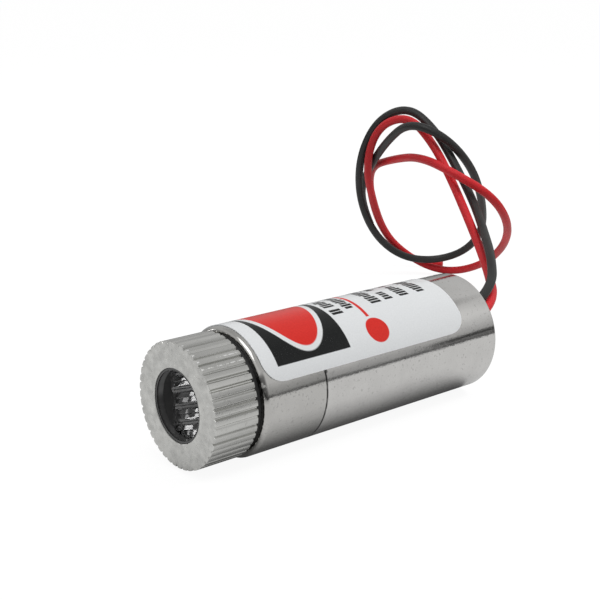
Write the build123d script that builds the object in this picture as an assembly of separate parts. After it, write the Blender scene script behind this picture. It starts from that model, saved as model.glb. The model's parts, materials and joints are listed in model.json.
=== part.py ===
from build123d import *
import math
import os

# A focusable line laser module: a plated barrel in two halves, a knurled focus ring screwed
# into its front, a diode soldered to its driver board inside, and two leads out of the back.
# Millimetres. +X runs along the beam, +Z is up, and the origin lies on the beam axis halfway
# along the rear barrel, where a holder grips it.

# Barrel
BARREL_RADIUS = 6.0
REAR_BARREL_LENGTH = 23.0
FRONT_BARREL_LENGTH = 7.0
FRONT_EDGE_ROUND = 0.45
REAR_EDGE_ROUND = 0.25
SEAM_CHAMFER = 0.1
CHAMBER_WALL = 0.8
SOCKET_WALL = 0.7
SPIGOT_WALL = 0.65
SHOULDER_TO_SEAM = 5.0
SPIGOT_LENGTH = 3.0
THREAD_MOUTH_CHAMFER = 0.15

# Clearances
SLIP = 0.02
SEAT_GAP = 0.02
THREAD_CLEARANCE = 0.05
TAIL_CLEARANCE = 0.25
PASSING_GAP = 0.1

# Focus ring
RING_HEAD_LENGTH = 4.5
RIDGE_SETBACK = 0.25
RIDGE_DEPTH = 0.27
RIDGE_COUNT = 45
RIDGE_LAND_SHARE = 0.46
RIDGE_VALLEY_SHARE = 0.14
RING_TAIL_LENGTH = 8.0
NECK_DEPTH = 0.25
NECK_LENGTH = 1.2
MOUTH_WALL = 0.8
MOUTH_DEPTH = 2.15
MOUTH_CHAMFER = 0.08
BEAM_LEDGE = 0.8
LENS_POCKET_DEPTH = 2.85
TAIL_WALL = 1.1

# Focus washer
WASHER_THICKNESS = 0.5
WASHER_WIDTH = 0.85
WASHER_CHAMFER = 0.15

# Line lens and its retainer
LINE_LENS_BASE = 1.1
LINE_LENS_HALF_WIDTH = 2.0
LINE_LENS_TURN = 6.0
RIB_HEIGHT = 0.2
RIB_PITCH = 0.48
RIB_TURN = 20.0
SLEEVE_WALL = 0.18
SLEEVE_SETBACK = 0.1

# Collimating lens and its retainer
COLLIMATOR_EDGE = 1.4
COLLIMATOR_DOME = 0.6
COLLIMATOR_RETAINER_LENGTH = 0.9
COLLIMATOR_RETAINER_WALL = 0.9

# Spring
SPRING_WIRE_RADIUS = 0.22
SPRING_TURNS = 5.0
SPRING_END_GAP = 0.03
SPRING_WIRE_SIDES = 8

# Laser diode and its holder
HOLDER_LENGTH = 3.5
HOLDER_LIP = 1.2
HEADER_RADIUS = 2.8
HEADER_THICKNESS = 1.2
CAP_RADIUS = 1.78
CAP_LENGTH = 2.3
CAP_WALL = 0.15
CAP_FLANGE = 0.3
CAP_CLEARANCE = 0.2
WINDOW_HOLE_RADIUS = 0.8
WINDOW_THICKNESS = 0.25
POST_LENGTH = 1.5
POST_WIDTH = 1.4
POST_HEIGHT = 1.2
CHIP_SIZE = (0.35, 0.25, 0.1)
PHOTODIODE_SIZE = (0.2, 0.7, 0.7)
PIN_RADIUS = 0.225
PIN_SPREAD = 0.85
PIN_STUB = 0.5
PIN_LENGTH = 4.4
SEAL_RADIUS = 0.5

# Driver board
BOARD_SIDE_CLEARANCE = 0.8
BOARD_TO_POTTING = 0.5
BOARD_THICKNESS = 0.8
PIN_OVERLAP = 1.8
TRANSISTOR_SIZE = (1.3, 2.9, 1.0)
TRANSISTOR_LIFT = 0.1
LEG_WIDTH = 0.4
LEG_THICKNESS = 0.12
LEG_REACH = 0.5
LEG_SPREAD = 0.95
RESISTOR_SIZE = (1.25, 2.0, 0.5)
RESISTOR_TO_END = 0.5
RESISTOR_TO_SIDE = 0.6
CAPACITOR_SIZE = (2.0, 1.25, 0.9)
CAPACITOR_TO_JOINT = 0.5
SOLDER_LENGTH = 1.3
SOLDER_COVER = 0.1
SOLDER_SLOPE_SHARE = 0.5

# Leads
LEAD_RADIUS = 0.525
CORE_RADIUS = 0.3
CORE_LENGTH = 1.8
LEAD_SPREAD = 1.0
LEAD_TO_BOARD = 0.3
POTTING_LENGTH = 2.3
POTTING_SETBACK = 0.2

# Label
LABEL_THICKNESS = 0.08
LABEL_GAP = 0.01
LABEL_FRONT_MARGIN = 0.5
LABEL_REAR_MARGIN = 4.4
LABEL_LOWER_EDGE = 69.8
LABEL_WRAP = 208.0
LABEL_CORNER = 1.9

# Places along the beam axis
X_REAR = -REAR_BARREL_LENGTH / 2
X_SEAM = X_REAR + REAR_BARREL_LENGTH
X_FRONT = X_SEAM + FRONT_BARREL_LENGTH
X_SHOULDER = X_SEAM - SHOULDER_TO_SEAM
X_SPIGOT_END = X_SEAM + SPIGOT_LENGTH
X_KNURL = X_FRONT + WASHER_THICKNESS + PASSING_GAP
X_FACE = X_KNURL + RING_HEAD_LENGTH
X_TAIL = X_KNURL - RING_TAIL_LENGTH
X_MOUTH_FLOOR = X_FACE - MOUTH_DEPTH
X_POCKET_FLOOR = X_TAIL + LENS_POCKET_DEPTH
X_HOLDER = X_SHOULDER - HOLDER_LENGTH
X_HEADER_FRONT = X_SHOULDER - HOLDER_LIP
X_HEADER_REAR = X_HEADER_FRONT - HEADER_THICKNESS
X_PIN_END = X_HEADER_REAR - PIN_LENGTH
X_BOARD_FRONT = X_PIN_END + PIN_OVERLAP
X_POTTING_REAR = X_REAR + POTTING_SETBACK
X_POTTING_FRONT = X_POTTING_REAR + POTTING_LENGTH
X_BOARD_REAR = X_POTTING_FRONT + BOARD_TO_POTTING
X_LEAD_START = X_BOARD_REAR - LEAD_TO_BOARD
X_CORE_END = X_LEAD_START + CORE_LENGTH

# Sizes across the beam, from the barrel's surface inwards
CHAMBER_RADIUS = BARREL_RADIUS - CHAMBER_WALL
SPIGOT_RADIUS = BARREL_RADIUS - SOCKET_WALL
SPRING_BORE_RADIUS = SPIGOT_RADIUS - SPIGOT_WALL
THREAD_RADIUS = SPRING_BORE_RADIUS - TAIL_CLEARANCE
NECK_RADIUS = THREAD_RADIUS - NECK_DEPTH
RIDGE_RADIUS = BARREL_RADIUS - RIDGE_SETBACK
MOUTH_RADIUS = NECK_RADIUS - MOUTH_WALL
LENS_POCKET_RADIUS = THREAD_RADIUS - TAIL_WALL
BEAM_RADIUS = LENS_POCKET_RADIUS - BEAM_LEDGE
SPRING_RADIUS = (LENS_POCKET_RADIUS + THREAD_RADIUS) / 2
WASHER_INNER_RADIUS = THREAD_RADIUS + PASSING_GAP

# The driver board fills the chamber between the pins and the potting
BOARD_LENGTH = X_BOARD_FRONT - X_BOARD_REAR
BOARD_WIDTH = 2 * (CHAMBER_RADIUS - BOARD_SIDE_CLEARANCE)
BOARD_TOP = BOARD_THICKNESS / 2
PIN_HEIGHT = BOARD_TOP + PIN_RADIUS
LEAD_HEIGHT = BOARD_TOP + CORE_RADIUS

# The pins lie in two rows, two on top of the board and one under it
PIN_PLACES = ((PIN_SPREAD, PIN_HEIGHT), (-PIN_SPREAD, PIN_HEIGHT), (0.0, -PIN_HEIGHT))

# Routes of the two leads behind the barrel, from the exit outwards, chosen to follow the
# standing coil: up and back over a loop that rests on its lower arcs, then a second turn
RED_ROUTE = [
    (-14.3, 1.0, 0.7),
    (-19.1, -0.2, 2.0),
    (-21.9, -3.6, 3.2),
    (-24.5, -7.8, 5.0),
    (-27.3, -12.2, 7.8),
    (-29.5, -17.0, 11.8),
    (-30.6, -21.2, 15.8),
    (-31.1, -26.0, 18.8),
    (-30.7, -31.2, 17.0),
    (-31.1, -33.8, 11.6),
    (-35.5, -36.2, 5.4),
    (-40.3, -38.2, -0.2),
    (-43.7, -37.4, -3.6),
    (-45.9, -34.2, -5.4),
    (-46.9, -30.0, -5.0),
    (-45.9, -24.2, -2.4),
    (-41.9, -18.0, 1.8),
    (-36.3, -13.2, 6.2),
    (-31.5, -12.0, 10.2),
    (-28.1, -15.4, 13.0),
    (-28.9, -21.8, 14.2),
    (-32.5, -30.0, 12.6),
    (-36.1, -37.8, 10.4),
    (-39.9, -41.4, 5.6),
    (-43.3, -42.4, -0.2),
    (-45.9, -40.6, -4.2),
    (-47.9, -37.4, -5.4),
    (-49.1, -35.6, -5.4),
]
BLACK_ROUTE = [
    (-14.3, -1.0, 0.7),
    (-18.5, -1.2, 3.2),
    (-22.5, -4.0, 5.4),
    (-26.5, -8.4, 7.0),
    (-30.1, -13.2, 9.2),
    (-32.3, -17.6, 13.0),
    (-32.5, -22.2, 17.2),
    (-32.1, -27.0, 19.8),
    (-31.5, -32.0, 17.8),
    (-31.9, -35.8, 12.6),
    (-34.1, -38.2, 6.2),
    (-37.5, -38.6, 0.4),
    (-41.3, -37.0, -3.2),
    (-45.1, -34.2, -4.0),
    (-47.5, -30.2, -2.4),
    (-46.1, -25.6, 1.6),
    (-40.7, -21.0, 7.2),
    (-34.7, -17.6, 12.8),
    (-31.1, -18.6, 17.2),
    (-29.1, -23.8, 18.2),
    (-31.3, -30.0, 15.0),
    (-33.9, -36.6, 10.4),
    (-36.3, -40.4, 5.6),
    (-38.9, -40.4, 1.4),
]


def turned(*outline):
    """A piece turned about the beam axis, from the (x, radius) corners of its section."""
    return revolve(make_face(Polyline(*outline, close=True)), Axis.X)


def ring(x_from, x_to, inner, outer):
    """A plain ring between two places along the beam axis."""
    return turned((x_from, inner), (x_to, inner), (x_to, outer), (x_from, outer))


def rod(x_from, x_to, radius, y=0.0, z=0.0):
    """A plain round rod along the beam, centred at y and z."""
    return extrude(Plane.YZ.offset(x_from) * Pos(y, z) * Circle(radius), x_to - x_from)


def block(x_from, size, y=0.0, z_low=0.0):
    """A rectangular block that starts at x_from and stands on z_low."""
    length, width, height = size
    return Pos(x_from + length / 2, y, z_low + height / 2) * Box(length, width, height)


def rims(piece, x, radius):
    """The round edges of a turned piece at one place and radius."""
    round_edges = piece.edges().filter_by(GeomType.CIRCLE)
    return [e for e in round_edges if abs(e.arc_center.X - x) < 1e-3 and abs(e.radius - radius) < 1e-3]


def rear_barrel():
    """The long half of the barrel, with the spigot that the front half slides over."""
    body = turned(
        (X_REAR, CHAMBER_RADIUS),
        (X_REAR, BARREL_RADIUS),
        (X_SEAM, BARREL_RADIUS),
        (X_SEAM, SPIGOT_RADIUS),
        (X_SPIGOT_END, SPIGOT_RADIUS),
        (X_SPIGOT_END, SPRING_BORE_RADIUS),
        (X_SHOULDER, SPRING_BORE_RADIUS),
        (X_SHOULDER, CHAMBER_RADIUS),
    )
    body = fillet(rims(body, X_REAR, BARREL_RADIUS), REAR_EDGE_ROUND)
    body = chamfer(rims(body, X_SEAM, BARREL_RADIUS), SEAM_CHAMFER)
    return chamfer(rims(body, X_SPIGOT_END, SPIGOT_RADIUS), SEAM_CHAMFER)


def front_barrel():
    """The short half of the barrel: a socket for the spigot and the bore of the focus thread."""
    socket = SPIGOT_RADIUS + SLIP
    bore = THREAD_RADIUS + THREAD_CLEARANCE
    body = turned(
        (X_SEAM, socket),
        (X_SEAM, BARREL_RADIUS),
        (X_FRONT, BARREL_RADIUS),
        (X_FRONT, bore),
        (X_SPIGOT_END + SEAT_GAP, bore),
        (X_SPIGOT_END + SEAT_GAP, socket),
    )
    body = fillet(rims(body, X_FRONT, BARREL_RADIUS), FRONT_EDGE_ROUND)
    body = chamfer(rims(body, X_SEAM, BARREL_RADIUS), SEAM_CHAMFER)
    return chamfer(rims(body, X_FRONT, bore), THREAD_MOUTH_CHAMFER)


def knurl_outline():
    """The closed outline of the ridges round the ring's head, across the beam."""
    pitch = 360.0 / RIDGE_COUNT
    land = pitch * RIDGE_LAND_SHARE / 2
    valley = pitch * RIDGE_VALLEY_SHARE / 2
    corners = []
    for ridge in range(RIDGE_COUNT):
        middle = ridge * pitch
        corners += [
            (RIDGE_RADIUS, middle - land),
            (RIDGE_RADIUS, middle + land),
            (RIDGE_RADIUS - RIDGE_DEPTH, middle + pitch / 2 - valley),
            (RIDGE_RADIUS - RIDGE_DEPTH, middle + pitch / 2 + valley),
        ]
    points = [(r * math.cos(math.radians(a)), r * math.sin(math.radians(a))) for r, a in corners]
    return make_face(Polyline(*points, close=True))


def focus_ring():
    """The knurled head, the threaded tail and the stepped bore through both."""
    head = extrude(Plane.YZ.offset(X_KNURL) * knurl_outline(), RING_HEAD_LENGTH)
    tail = rod(X_TAIL, X_KNURL - NECK_LENGTH, THREAD_RADIUS)
    neck = rod(X_KNURL - NECK_LENGTH, X_KNURL, NECK_RADIUS)
    mouth = rod(X_MOUTH_FLOOR, X_FACE, MOUTH_RADIUS)
    pocket = rod(X_TAIL, X_POCKET_FLOOR, LENS_POCKET_RADIUS)
    body = head + neck + tail - mouth - pocket - rod(X_TAIL, X_FACE, BEAM_RADIUS)
    body = chamfer(rims(body, X_FACE, MOUTH_RADIUS), MOUTH_CHAMFER)
    return chamfer(rims(body, X_TAIL, THREAD_RADIUS), THREAD_MOUTH_CHAMFER)


def focus_washer():
    """The rubber washer between the ring and the barrel's front face."""
    outer = WASHER_INNER_RADIUS + WASHER_WIDTH
    body = ring(X_FRONT, X_FRONT + WASHER_THICKNESS, WASHER_INNER_RADIUS, outer)
    return chamfer(rims(body, X_FRONT + WASHER_THICKNESS, outer), WASHER_CHAMFER)


def line_lens():
    """A disc with two flat sides and parallel round-backed ribs across its front."""
    back = X_MOUTH_FLOOR + SEAT_GAP
    ledge = back + LINE_LENS_BASE
    crest = ledge + RIB_HEIGHT
    radius = MOUTH_RADIUS - SLIP
    half = math.ceil(radius / RIB_PITCH) * RIB_PITCH
    rows = round(2 * half / RIB_PITCH)
    outline = [Line((ledge, half), (back, half)), Line((back, half), (back, -half)), Line((back, -half), (ledge, -half))]
    for row in range(rows):
        low = -half + row * RIB_PITCH
        outline.append(ThreePointArc((ledge, low), (crest, low + RIB_PITCH / 2), (ledge, low + RIB_PITCH)))
    ribbed = Rot(RIB_TURN, 0, 0) * extrude(Plane.XZ * make_face(outline), 2 * radius, both=True)
    between_flats = block(back, (crest - back, 2 * LINE_LENS_HALF_WIDTH, 2 * radius), 0, -radius)
    return ribbed & rod(back, crest, radius) & Rot(LINE_LENS_TURN, 0, 0) * between_flats


def line_lens_retainer():
    """The thin sleeve that holds the line lens down in the mouth."""
    crest = X_MOUTH_FLOOR + SEAT_GAP + LINE_LENS_BASE + RIB_HEIGHT
    outer = MOUTH_RADIUS - SLIP
    return ring(crest + SEAT_GAP, X_FACE - SLEEVE_SETBACK, outer - SLEEVE_WALL, outer)


def collimating_lens():
    """The small lens in the ring's tail, flat towards the diode and domed towards the front."""
    edge = LENS_POCKET_RADIUS - SLIP
    front = X_POCKET_FLOOR - SEAT_GAP
    back = front - COLLIMATOR_EDGE
    dome = BEAM_RADIUS - PASSING_GAP
    corners = Polyline((front + COLLIMATOR_DOME, 0), (back, 0), (back, edge), (front, edge), (front, dome))
    sphere = (dome**2 + COLLIMATOR_DOME**2) / (2 * COLLIMATOR_DOME)
    half_angle = math.asin(dome / sphere) / 2
    middle = (front + COLLIMATOR_DOME - sphere + sphere * math.cos(half_angle), sphere * math.sin(half_angle))
    crown = ThreePointArc((front, dome), middle, (front + COLLIMATOR_DOME, 0))
    return revolve(make_face([*corners.edges(), crown]), Axis.X)


def collimator_retainer():
    """The ring behind the collimating lens."""
    outer = LENS_POCKET_RADIUS - SLIP
    front = X_POCKET_FLOOR - COLLIMATOR_EDGE - 2 * SEAT_GAP
    return ring(front - COLLIMATOR_RETAINER_LENGTH, front, outer - COLLIMATOR_RETAINER_WALL, outer)


def lens_spring():
    """The spring between the diode holder and the ring's tail, with a closed coil at each end."""
    start = X_SHOULDER + SPRING_WIRE_RADIUS
    reach = X_TAIL - SPRING_WIRE_RADIUS - SPRING_END_GAP - start
    closed = 2 * SPRING_WIRE_RADIUS + SPRING_END_GAP
    count = round(SPRING_TURNS * 12)
    points = []
    for step in range(count + 1):
        turn = step / 12
        left = SPRING_TURNS - turn
        if turn < 1:
            x = start + closed * turn**2
        elif left < 1:
            x = start + reach - closed * left**2
        else:
            x = start + closed + (reach - 2 * closed) * (turn - 1) / (SPRING_TURNS - 2)
        angle = 2 * math.pi * turn
        points.append((x, SPRING_RADIUS * math.cos(angle), SPRING_RADIUS * math.sin(angle)))
    path = Spline(*points)
    section = Plane(origin=path @ 0, z_dir=path % 0) * RegularPolygon(SPRING_WIRE_RADIUS, SPRING_WIRE_SIDES)
    return sweep(section, path, is_frenet=True)


def diode_holder():
    """The bush pressed against the barrel's shoulder, with a seat for the diode's flange."""
    lip_bore = CAP_RADIUS + CAP_FLANGE + CAP_CLEARANCE
    seat_bore = HEADER_RADIUS + SLIP
    front = X_SHOULDER - SEAT_GAP
    seat = X_HEADER_FRONT + SEAT_GAP
    return turned(
        (X_HOLDER, seat_bore),
        (X_HOLDER, CHAMBER_RADIUS - SLIP),
        (front, CHAMBER_RADIUS - SLIP),
        (front, lip_bore),
        (seat, lip_bore),
        (seat, seat_bore),
    )


def diode_header():
    """The flange of the diode package, with the post that carries the chip."""
    body = rod(X_HEADER_REAR, X_HEADER_FRONT, HEADER_RADIUS)
    post = block(X_HEADER_FRONT, (POST_LENGTH, POST_WIDTH, POST_HEIGHT), 0, -CHIP_SIZE[2] - POST_HEIGHT)
    for y, z in PIN_PLACES[:2]:
        body -= rod(X_HEADER_REAR, X_HEADER_FRONT, SEAL_RADIUS, y, z)
    return body + post


def diode_cap():
    """The can over the chip, with its window hole."""
    front = X_HEADER_FRONT + CAP_LENGTH
    return turned(
        (X_HEADER_FRONT, CAP_RADIUS - CAP_WALL),
        (X_HEADER_FRONT, CAP_RADIUS + CAP_FLANGE),
        (X_HEADER_FRONT + CAP_WALL, CAP_RADIUS + CAP_FLANGE),
        (X_HEADER_FRONT + CAP_WALL, CAP_RADIUS),
        (front, CAP_RADIUS),
        (front, WINDOW_HOLE_RADIUS),
        (front - CAP_WALL, WINDOW_HOLE_RADIUS),
        (front - CAP_WALL, CAP_RADIUS - CAP_WALL),
    )


def diode_window():
    """The glass disc behind the window hole."""
    front = X_HEADER_FRONT + CAP_LENGTH - CAP_WALL
    return rod(front - WINDOW_THICKNESS, front, (WINDOW_HOLE_RADIUS + CAP_RADIUS) / 2)


def laser_chip():
    """The emitter at the end of the post, its middle on the beam axis."""
    x_from = X_HEADER_FRONT + POST_LENGTH - CHIP_SIZE[0]
    return block(x_from, CHIP_SIZE, 0, -CHIP_SIZE[2])


def monitor_photodiode():
    """The chip on the header's face that watches the light from the back of the emitter."""
    return block(X_HEADER_FRONT, PHOTODIODE_SIZE, 0, CHIP_SIZE[2])


def diode_pins():
    """Two insulated pins through the header and one welded to its back."""
    pins = [rod(X_PIN_END, X_HEADER_FRONT + PIN_STUB, PIN_RADIUS, y, z) for y, z in PIN_PLACES[:2]]
    pins.append(rod(X_PIN_END, X_HEADER_REAR, PIN_RADIUS, *PIN_PLACES[2]))
    return Compound(pins)


def pin_seals():
    """The glass beads round the two insulated pins."""
    beads = []
    for y, z in PIN_PLACES[:2]:
        bead = rod(X_HEADER_REAR, X_HEADER_FRONT, SEAL_RADIUS, y, z)
        beads.append(bead - rod(X_HEADER_REAR, X_HEADER_FRONT, PIN_RADIUS, y, z))
    return Compound(beads)


def driver_board():
    """The circuit board between the pins and the leads."""
    return block(X_BOARD_REAR, (BOARD_LENGTH, BOARD_WIDTH, BOARD_THICKNESS), 0, -BOARD_TOP)


def leg(x_body, side, y):
    """One bent leg of the transistor: out of the body, down, and out along the board."""
    length, width, height = TRANSISTOR_SIZE
    x = x_body + side * length / 2
    middle = BOARD_TOP + TRANSISTOR_LIFT + height / 2
    half = LEG_REACH / 2
    arm = Pos(x + side * half / 2, 0, middle) * Box(half, LEG_WIDTH, LEG_THICKNESS)
    drop = middle + LEG_THICKNESS / 2 - BOARD_TOP
    riser = Pos(x + side * half, 0, BOARD_TOP + drop / 2) * Box(LEG_THICKNESS, LEG_WIDTH, drop)
    foot = Pos(x + side * half * 1.5, 0, BOARD_TOP + LEG_THICKNESS / 2) * Box(half, LEG_WIDTH, LEG_THICKNESS)
    return Pos(0, y, 0) * (arm + riser + foot)


def driver_transistor():
    """The three-legged driver on top of the board, midway between the pins and the leads."""
    x = (X_PIN_END + X_CORE_END) / 2
    body = block(x - TRANSISTOR_SIZE[0] / 2, TRANSISTOR_SIZE, 0, BOARD_TOP + TRANSISTOR_LIFT)
    return body + leg(x, 1, LEG_SPREAD) + leg(x, 1, -LEG_SPREAD) + leg(x, -1, 0)


def driver_resistors():
    """Two chip resistors under the board, one each side of the lower pin."""
    length, width, height = RESISTOR_SIZE
    x_from = X_BOARD_FRONT - RESISTOR_TO_END - length
    y = BOARD_WIDTH / 2 - RESISTOR_TO_SIDE - width / 2
    return Compound([block(x_from, RESISTOR_SIZE, side * y, -BOARD_TOP - height) for side in (1, -1)])


def driver_capacitor():
    """The chip capacitor under the board, behind the lower pin's joint."""
    length, width, height = CAPACITOR_SIZE
    x_from = X_PIN_END - SOLDER_COVER - CAPACITOR_TO_JOINT - length
    return block(x_from, CAPACITOR_SIZE, 0, -BOARD_TOP - height)


def solder_mound(x_from, x_to, wire_radius, y, side):
    """A sloping mound over a wire that lies on the board, on its top (+1) or underside (-1)."""
    radius = 2 * wire_radius + SOLDER_COVER
    mound = rod(x_from, x_to, radius, y, side * BOARD_TOP)
    mound = chamfer(mound.edges().filter_by(GeomType.CIRCLE), radius * SOLDER_SLOPE_SHARE)
    above = Pos((x_from + x_to) / 2, y, side * (BOARD_TOP + radius)) * Box(2 * (x_to - x_from), 4 * radius, 2 * radius)
    return mound & above


def pin_solder():
    """The three joints between the pins and the board."""
    joints = []
    for y, z in PIN_PLACES:
        side = math.copysign(1, z)
        mound = solder_mound(X_PIN_END - SOLDER_COVER, X_PIN_END + SOLDER_LENGTH, PIN_RADIUS, y, side)
        joints.append(mound - rod(X_PIN_END, X_HEADER_REAR, PIN_RADIUS, y, z))
    return Compound(joints)


def lead_cores():
    """The bare ends of the two leads on their pads."""
    sides = (LEAD_SPREAD, -LEAD_SPREAD)
    return Compound([rod(X_LEAD_START, X_CORE_END, CORE_RADIUS, y, LEAD_HEIGHT) for y in sides])


def lead_solder():
    """The two joints between the leads' bare ends and the board."""
    x_to = X_CORE_END + SOLDER_COVER
    joints = []
    for y in (LEAD_SPREAD, -LEAD_SPREAD):
        mound = solder_mound(x_to - SOLDER_LENGTH, x_to, CORE_RADIUS, y, 1)
        joints.append(mound - rod(X_LEAD_START, X_CORE_END, CORE_RADIUS, y, LEAD_HEIGHT))
    return Compound(joints)


def rear_potting():
    """The filling that closes the back of the barrel round the two leads."""
    body = rod(X_POTTING_REAR, X_POTTING_FRONT, CHAMBER_RADIUS - SLIP)
    for y in (LEAD_SPREAD, -LEAD_SPREAD):
        body -= rod(X_POTTING_REAR, X_POTTING_FRONT, LEAD_RADIUS + SLIP, y, LEAD_HEIGHT)
    return body


def label():
    """The film round the barrel, open underneath, with rounded corners."""
    x_from = X_REAR + LABEL_REAR_MARGIN
    x_to = X_FRONT - LABEL_FRONT_MARGIN
    inner = BARREL_RADIUS + LABEL_GAP
    section = Polyline(
        (x_from, inner),
        (x_to, inner),
        (x_to, inner + LABEL_THICKNESS),
        (x_from, inner + LABEL_THICKNESS),
        close=True,
    )
    film = revolve(make_face(section), Axis.X, LABEL_WRAP)
    inset = math.degrees(math.asin(LABEL_CORNER / inner))
    for x, outward in ((x_from, -1), (x_to, 1)):
        for edge, inward in ((0, 1), (LABEL_WRAP, -1)):
            square = Pos(x, inner, -inward * LABEL_CORNER) * Box(2 * LABEL_CORNER, 2, 2 * LABEL_CORNER)
            disc = Pos(x - outward * LABEL_CORNER, inner, 0) * Rot(90, 0, 0) * Cylinder(LABEL_CORNER, 2)
            film -= Rot(edge + inward * inset, 0, 0) * (square - disc)
    return Rot(90 - LABEL_LOWER_EDGE, 0, 0) * film


def lead(name, route, side):
    """One lead: a plain round cord along its route, each bend as wide as its runs allow."""
    points = [Vector(X_LEAD_START, side * LEAD_SPREAD, LEAD_HEIGHT)] + [Vector(*p) for p in route]
    bends = []
    for before, corner, after in zip(points, points[1:], points[2:]):
        run_in = corner - before
        run_out = after - corner
        half_turn = math.radians(run_in.get_angle(run_out)) / 2
        bends.append(0.45 * min(run_in.length, run_out.length) / math.tan(half_turn))
    path = FilletPolyline(*points, radius=bends)
    cord = sweep(Plane(origin=points[0], z_dir=(-1, 0, 0)) * Circle(LEAD_RADIUS), path)
    outside = path.length - (X_LEAD_START - X_REAR)
    share = cord.volume / (math.pi * LEAD_RADIUS**2 * path.length)
    print(name, "outside", round(outside, 1), "bends", [round(b, 1) for b in bends], "volume share", round(share, 3))
    return cord


os.makedirs("parts", exist_ok=True)
PIECES = {
    "rear_barrel": rear_barrel(),
    "front_barrel": front_barrel(),
    "focus_ring": focus_ring(),
    "focus_washer": focus_washer(),
    "line_lens": line_lens(),
    "line_lens_retainer": line_lens_retainer(),
    "collimating_lens": collimating_lens(),
    "collimator_retainer": collimator_retainer(),
    "lens_spring": lens_spring(),
    "diode_holder": diode_holder(),
    "diode_header": diode_header(),
    "diode_cap": diode_cap(),
    "diode_window": diode_window(),
    "laser_chip": laser_chip(),
    "monitor_photodiode": monitor_photodiode(),
    "diode_pins": diode_pins(),
    "pin_seals": pin_seals(),
    "pin_solder": pin_solder(),
    "driver_board": driver_board(),
    "driver_transistor": driver_transistor(),
    "driver_resistors": driver_resistors(),
    "driver_capacitor": driver_capacitor(),
    "lead_cores": lead_cores(),
    "lead_solder": lead_solder(),
    "rear_potting": rear_potting(),
    "label": label(),
    "red_lead": lead("red_lead", RED_ROUTE, 1),
    "black_lead": lead("black_lead", BLACK_ROUTE, -1),
}
for node, shape in PIECES.items():
    export_step(shape, f"parts/{node}.step")
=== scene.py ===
import json
import math

import bpy
from mathutils import Matrix, Vector


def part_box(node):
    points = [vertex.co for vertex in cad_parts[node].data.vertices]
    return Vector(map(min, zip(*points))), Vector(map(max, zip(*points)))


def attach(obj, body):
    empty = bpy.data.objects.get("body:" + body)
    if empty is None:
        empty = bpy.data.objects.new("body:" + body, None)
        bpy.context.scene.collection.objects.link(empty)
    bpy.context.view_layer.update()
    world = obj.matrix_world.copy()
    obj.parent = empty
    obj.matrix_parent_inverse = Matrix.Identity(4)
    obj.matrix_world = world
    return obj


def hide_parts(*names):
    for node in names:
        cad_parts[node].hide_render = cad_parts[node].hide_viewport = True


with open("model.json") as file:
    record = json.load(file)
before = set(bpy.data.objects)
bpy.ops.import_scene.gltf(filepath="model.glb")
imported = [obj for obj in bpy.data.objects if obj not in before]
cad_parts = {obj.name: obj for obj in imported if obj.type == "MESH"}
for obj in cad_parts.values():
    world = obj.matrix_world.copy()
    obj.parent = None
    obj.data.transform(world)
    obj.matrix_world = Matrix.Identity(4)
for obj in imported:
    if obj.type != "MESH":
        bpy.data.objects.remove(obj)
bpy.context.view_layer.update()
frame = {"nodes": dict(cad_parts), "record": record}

MM = 0.001


def extent(node, axis=0):
    """The lowest and highest place of a node along an axis, in millimetres."""
    low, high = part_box(node)
    return round(low[axis] / MM, 2), round(high[axis] / MM, 2)


# Places along the beam axis and outer radii of the solids, in millimetres
X_REAR, X_SPIGOT_END = extent("rear_barrel")
X_SEAM, X_FRONT = extent("front_barrel")
X_TAIL, X_FACE = extent("focus_ring")
X_LENS_BACK, X_LENS_CREST = extent("line_lens")
X_SLEEVE_RIM = extent("line_lens_retainer")[1]
BARREL_RADIUS = extent("rear_barrel", 1)[1]
WASHER_RADIUS = extent("focus_washer", 1)[1]
LABEL_RADIUS = extent("label", 2)[1]
LENS_RADIUS = extent("line_lens", 2)[1]

# Their lengths, walls and clearances, and the sizes of the thread, knurl and leads, in millimetres
SHOULDER_TO_SEAM = 5.0
RING_HEAD_LENGTH = 4.5
NECK_LENGTH = 1.2
MOUTH_DEPTH = 2.15
LENS_POCKET_DEPTH = 2.85
CHAMBER_WALL = 0.8
SOCKET_WALL = 0.7
SPIGOT_WALL = 0.65
NECK_DEPTH = 0.25
MOUTH_WALL = 0.8
TAIL_WALL = 1.1
BEAM_LEDGE = 0.8
RIDGE_SETBACK = 0.25
SLIP = 0.02
SEAT_GAP = 0.02
THREAD_CLEARANCE = 0.05
TAIL_CLEARANCE = 0.25
PASSING_GAP = 0.1
THREAD_PITCH = 0.5
RIDGE_COUNT = 45
RIDGE_DEPTH = 0.27
LEAD_RADIUS = 0.525

X_SHOULDER = X_SEAM - SHOULDER_TO_SEAM
X_KNURL = X_FACE - RING_HEAD_LENGTH
X_HEAD_TO_TAIL = X_KNURL + 0.002
X_MOUTH_FLOOR = X_FACE - MOUTH_DEPTH
X_POCKET_FLOOR = X_TAIL + LENS_POCKET_DEPTH
CHAMBER_RADIUS = BARREL_RADIUS - CHAMBER_WALL
SPIGOT_RADIUS = BARREL_RADIUS - SOCKET_WALL
SPRING_BORE_RADIUS = SPIGOT_RADIUS - SPIGOT_WALL
THREAD_RADIUS = SPRING_BORE_RADIUS - TAIL_CLEARANCE
NECK_RADIUS = THREAD_RADIUS - NECK_DEPTH
RIDGE_RADIUS = BARREL_RADIUS - RIDGE_SETBACK
MOUTH_RADIUS = NECK_RADIUS - MOUTH_WALL
LENS_POCKET_RADIUS = THREAD_RADIUS - TAIL_WALL
BEAM_RADIUS = LENS_POCKET_RADIUS - BEAM_LEDGE

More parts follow.
